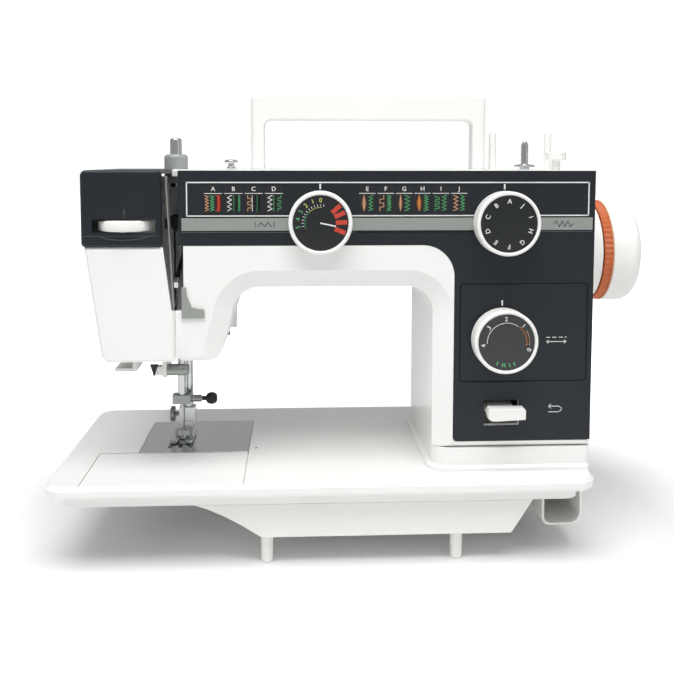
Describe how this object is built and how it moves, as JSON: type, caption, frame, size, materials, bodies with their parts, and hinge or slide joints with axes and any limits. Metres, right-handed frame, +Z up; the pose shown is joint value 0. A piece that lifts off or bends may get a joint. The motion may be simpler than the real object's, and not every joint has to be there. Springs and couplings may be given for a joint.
{
  "type": "sewing machine",
  "caption": "Flat-bed domestic sewing machine with carrying handle, three front dials, reverse lever, handwheel, needle and presser foot, and an oscillating shuttle under the bed.",
  "frame": {"origin": "middle of the footprint, on the surface that the four feet stand on", "axes": "+X to the handwheel, +Y to the back, +Z up"},
  "size_m": [0.419, 0.178, 0.3246],
  "materials": {
    "white_enamel": "gloss enamel on cast metal",
    "white_plastic": "moulded white plastic, satin",
    "dark_plastic": "fine textured dark blue-grey plastic",
    "black_plastic": "moulded black plastic",
    "satin_silver": "satin anodised",
    "plate_steel": "brushed and plated",
    "chrome": "polished chrome plate",
    "steel": "machined steel",
    "cast_metal": "as-cast aluminium",
    "orange_plastic": "moulded orange plastic with ribs",
    "rubber": "moulded belt rubber",
    "clear_plastic": "clear",
    "grey_plastic": "moulded grey plastic"
  },
  "bodies": {
    "machine": {"bed_plate": "white_enamel", "arm_casting": "white_enamel", "base_tray": "white_plastic", "foot_front_left": "white_plastic", "foot_rear_left": "white_plastic", "foot_front_right": "white_plastic", "foot_rear_right": "white_plastic", "socket_housing": "white_plastic", "rear_cover": "white_plastic", "top_cover": "white_plastic", "light_shield": "white_plastic", "winder_stop": "white_plastic", "front_panel": "dark_plastic", "head_cap": "dark_plastic", "trim_band": "satin_silver", "slot_strip": "satin_silver", "thread_guide_plate": "satin_silver", "thread_cutter": "satin_silver", "needle_plate": "plate_steel", "top_thread_guide": "chrome", "bobbin_case": "chrome", "tension_discs": "steel", "hook_race": "cast_metal", "bar_frame": "cast_metal", "motor": "cast_metal", "drive_belt": "rubber", "lamp_bulb": "clear_plastic", "regulator_sleeve": "grey_plastic"},
    "wheel_body": {"main_shaft": "steel", "handwheel": "white_plastic", "grip_ring": "orange_plastic"},
    "motor_pulley_body": {"motor_pulley": "steel"},
    "needle_body": {"needle_bar": "chrome", "needle_clamp": "steel", "needle": "chrome"},
    "clamp_screw_body": {"clamp_screw": "black_plastic"},
    "presser_body": {"presser_bar": "chrome", "foot_holder": "chrome"},
    "foot_screw_body": {"foot_screw": "steel"},
    "foot_body": {"presser_foot": "chrome"},
    "lifter_body": {"presser_lifter": "black_plastic"},
    "feed_body": {"feed_dogs": "steel"},
    "link_body": {"shuttle_link": "steel"},
    "lower_shaft_body": {"lower_shaft": "steel"},
    "shuttle_body": {"shuttle_hook": "chrome"},
    "bobbin_body": {"bobbin": "clear_plastic"},
    "width_dial_body": {"width_dial": "white_plastic"},
    "selector_dial_body": {"selector_dial": "white_plastic"},
    "length_dial_body": {"length_dial": "white_plastic"},
    "reverse_body": {"reverse_lever": "white_plastic"},
    "tension_body": {"tension_dial": "white_plastic"},
    "handle_body": {"handle": "white_plastic"},
    "spool_left_body": {"spool_pin_left": "white_plastic"},
    "spool_right_body": {"spool_pin_right": "white_plastic"},
    "winder_slide_body": {"winder_slide": "black_plastic"},
    "winder_spindle_body": {"winder_spindle": "chrome"},
    "regulator_body": {"regulator_pin": "chrome"},
    "hook_cover_body": {"hook_cover": "white_enamel"},
    "face_body": {"face_cover": "white_enamel"},
    "take_up_body": {"take_up_lever": "chrome"}
  },
  "joints": [
    {"name": "handwheel_turn", "type": "hinge", "parent": "machine", "child": "wheel_body", "pos_m": [0, 0, 0.207], "axis": [1, 0, 0], "continuous": true},
    {"name": "motor_turn", "type": "hinge", "parent": "machine", "child": "motor_pulley_body", "pos_m": [0.14, 0.01, 0.109], "axis": [1, 0, 0], "continuous": true},
    {"name": "needle_stroke", "type": "slide", "parent": "machine", "child": "needle_body", "axis": [0, 0, 1], "range_m": [-0.014, 0.014]},
    {"name": "clamp_screw_turn", "type": "hinge", "parent": "needle_body", "child": "clamp_screw_body", "pos_m": [-0.11, 0.004, 0.0939], "axis": [1, 0, 0], "range_deg": [0, 360]},
    {"name": "presser_lift", "type": "slide", "parent": "machine", "child": "presser_body", "axis": [0, 0, 1], "range_m": [0, 0.0061]},
    {"name": "foot_screw_turn", "type": "hinge", "parent": "presser_body", "child": "foot_screw_body", "pos_m": [-0.135, 0.0145, 0.079], "axis": [1, 0, 0], "range_deg": [0, 360]},
    {"name": "foot_tilt", "type": "hinge", "parent": "presser_body", "child": "foot_body", "pos_m": [-0.129, 0.0121, 0.0672], "axis": [1, 0, 0], "range_deg": [-2, 2]},
    {"name": "lifter_swing", "type": "hinge", "parent": "machine", "child": "lifter_body", "pos_m": [-0.104, 0.055, 0.15], "axis": [0, 1, 0], "range_deg": [0, 70]},
    {"name": "feed_stroke", "type": "slide", "parent": "machine", "child": "feed_body", "axis": [0, 1, 0], "range_m": [-0.0015, 0.0015]},
    {"name": "link_stroke", "type": "slide", "parent": "machine", "child": "link_body", "axis": [0, 0, 1], "range_m": [-0.006, 0.006]},
    {"name": "lower_shaft_rock", "type": "hinge", "parent": "machine", "child": "lower_shaft_body", "pos_m": [0, 0.02, 0.048], "axis": [1, 0, 0], "range_deg": [-25, 25]},
    {"name": "shuttle_swing", "type": "hinge", "parent": "machine", "child": "shuttle_body", "pos_m": [-0.129, 0, 0.034], "axis": [0, 1, 0], "range_deg": [-58, 58]},
    {"name": "bobbin_turn", "type": "hinge", "parent": "machine", "child": "bobbin_body", "pos_m": [-0.129, 0, 0.034], "axis": [0, 1, 0], "continuous": true},
    {"name": "width_dial_turn", "type": "hinge", "parent": "machine", "child": "width_dial_body", "pos_m": [-0.0259, -0.075, 0.2334], "axis": [0, -1, 0], "range_deg": [-120, 120]},
    {"name": "selector_dial_turn", "type": "hinge", "parent": "machine", "child": "selector_dial_body", "pos_m": [0.0985, -0.075, 0.2328], "axis": [0, -1, 0], "continuous": true},
    {"name": "length_dial_turn", "type": "hinge", "parent": "machine", "child": "length_dial_body", "pos_m": [0.0981, -0.075, 0.1536], "axis": [0, -1, 0], "range_deg": [-130, 130]},
    {"name": "reverse_press", "type": "hinge", "parent": "machine", "child": "reverse_body", "pos_m": [0.099, -0.052, 0.1013], "axis": [1, 0, 0], "range_deg": [0, 12], "stiffness_Nm_per_rad": 0.3, "springref_deg": -11.46},
    {"name": "tension_turn", "type": "hinge", "parent": "machine", "child": "tension_body", "pos_m": [-0.1561, -0.054, 0.2309], "axis": [0, 0, 1], "range_deg": [-150, 150]},
    {"name": "handle_fold", "type": "hinge", "parent": "machine", "child": "handle_body", "pos_m": [0.0131, 0.014, 0.262], "axis": [-1, 0, 0], "range_deg": [0, 90]},
    {"name": "spool_pin_left_pull", "type": "slide", "parent": "machine", "child": "spool_left_body", "axis": [0, 0, 1], "range_m": [0, 0.025]},
    {"name": "spool_pin_right_pull", "type": "slide", "parent": "machine", "child": "spool_right_body", "axis": [0, 0, 1], "range_m": [0, 0.025]},
    {"name": "winder_engage", "type": "slide", "parent": "machine", "child": "winder_slide_body", "axis": [1, 0, 0], "range_m": [0, 0.004]},
    {"name": "winder_turn", "type": "hinge", "parent": "winder_slide_body", "child": "winder_spindle_body", "pos_m": [0.1246, -0.021, 0.26], "axis": [0, 0, 1], "continuous": true},
    {"name": "regulator_press", "type": "slide", "parent": "machine", "child": "regulator_body", "axis": [0, 0, -1], "range_m": [0, 0.006], "stiffness_N_per_m": 250, "springref_m": -0.002},
    {"name": "hook_cover_open", "type": "hinge", "parent": "machine", "child": "hook_cover_body", "pos_m": [-0.1315, -0.0864, 0.061], "axis": [1, 0, 0], "range_deg": [0, 165]},
    {"name": "face_cover_open", "type": "hinge", "parent": "machine", "child": "face_body", "pos_m": [-0.1815, 0.044, 0.178], "axis": [0, 0, -1], "range_deg": [0, 100]},
    {"name": "take_up_swing", "type": "hinge", "parent": "machine", "child": "take_up_body", "pos_m": [-0.1222, -0.006, 0.214], "axis": [-1, 0, 0], "range_deg": [-5, 55]}
  ],
  "couplings": [
    {"joint": "motor_turn", "follows": "handwheel_turn", "ratio": 3},
    {"joint": "lifter_swing", "follows": "presser_lift", "rad_per_m": 200.2},
    {"joint": "lower_shaft_rock", "follows": "link_stroke", "rad_per_m": 71.43},
    {"joint": "shuttle_swing", "follows": "link_stroke", "rad_per_m": 167.2}
  ]
}
